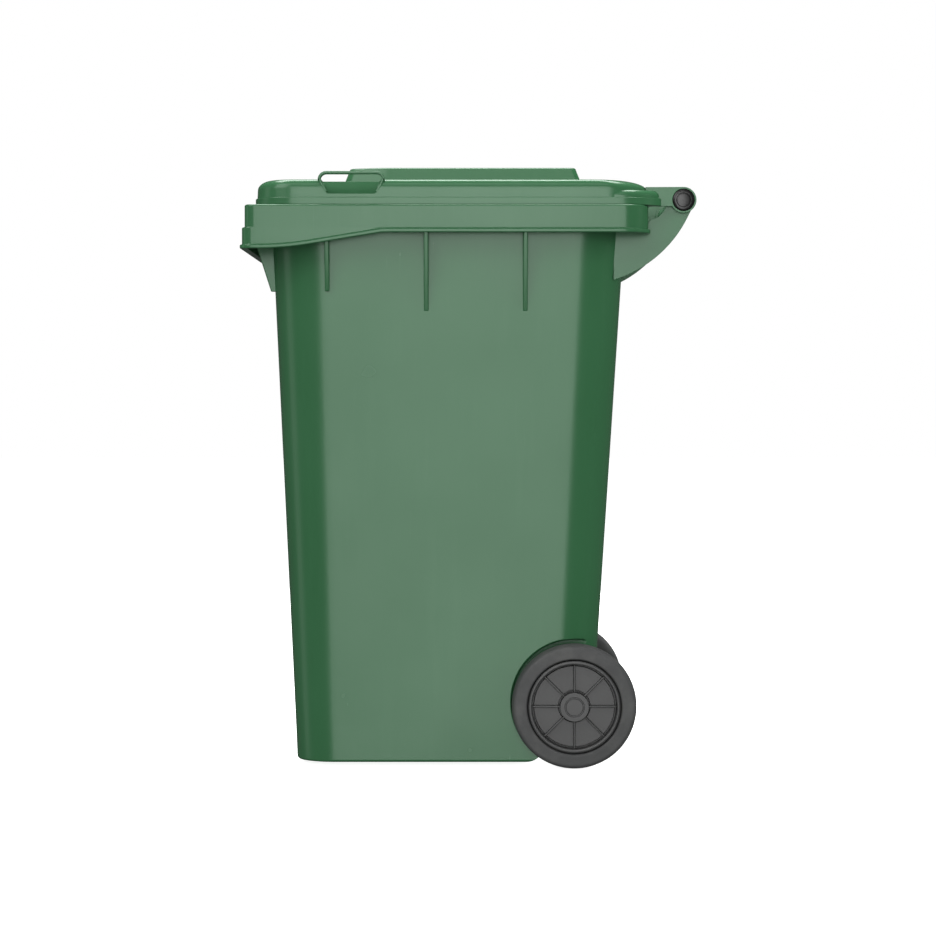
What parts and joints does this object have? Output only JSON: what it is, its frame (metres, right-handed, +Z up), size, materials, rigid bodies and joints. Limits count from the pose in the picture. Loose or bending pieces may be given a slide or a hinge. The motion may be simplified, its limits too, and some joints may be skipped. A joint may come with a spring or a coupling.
{
  "type": "wheelie bin",
  "caption": "Tall two-wheeled refuse bin with a comb-lift rim, a hinged domed lid with strap grips and a rear handle bar.",
  "frame": {"origin": "centre of the bounding box's bottom, on the ground", "axes": "+X across the width, towards the right hand of someone who faces the bin's front, +Y towards the back with its hinge and wheels, +Z up"},
  "size_m": [0.6, 0.834, 1.1065],
  "materials": {
    "body_green": "satin",
    "lid_green": "satin",
    "wheel_grey": "satin",
    "tyre_grey": "matt",
    "pin_black": "satin",
    "steel": "zinc plated"
  },
  "bodies": {
    "bin": {"tub": "body_green", "handle_bar": "body_green", "hinge_pin_right": "pin_black", "hinge_pin_left": "pin_black", "hinge_cap_right": "pin_black", "hinge_cap_left": "pin_black", "axle": "steel", "axle_sleeve_right": "wheel_grey", "axle_sleeve_left": "wheel_grey"},
    "lid": {"lid": "lid_green"},
    "wheel_right": {"wheel_right": "wheel_grey", "tyre_right": "tyre_grey", "hub_cap_right": "wheel_grey", "latch_spring_right": "steel", "latch_plug_right": "wheel_grey"},
    "latch_right": {"latch_pin_right": "steel"},
    "wheel_left": {"wheel_left": "wheel_grey", "tyre_left": "tyre_grey", "hub_cap_left": "wheel_grey", "latch_spring_left": "steel", "latch_plug_left": "wheel_grey"},
    "latch_left": {"latch_pin_left": "steel"}
  },
  "joints": [
    {"name": "lid_hinge", "type": "hinge", "parent": "bin", "child": "lid", "pos_m": [0, 0.3914, 1.0422], "axis": [-1, 0, 0], "range_deg": [0, 250]},
    {"name": "wheel_right_spin", "type": "hinge", "parent": "bin", "child": "wheel_right", "pos_m": [0.25, 0.191, 0.1145], "axis": [1, 0, 0], "continuous": true},
    {"name": "latch_right_slide", "type": "slide", "parent": "wheel_right", "child": "latch_right", "axis": [0, 0, 1], "range_m": [0, 0.003], "stiffness_N_per_m": 300, "springref_m": -0.006, "deforming": ["latch_spring_right"]},
    {"name": "wheel_left_spin", "type": "hinge", "parent": "bin", "child": "wheel_left", "pos_m": [-0.25, 0.191, 0.1145], "axis": [1, 0, 0], "continuous": true},
    {"name": "latch_left_slide", "type": "slide", "parent": "wheel_left", "child": "latch_left", "axis": [0, 0, 1], "range_m": [0, 0.003], "stiffness_N_per_m": 300, "springref_m": -0.006, "deforming": ["latch_spring_left"]}
  ]
}
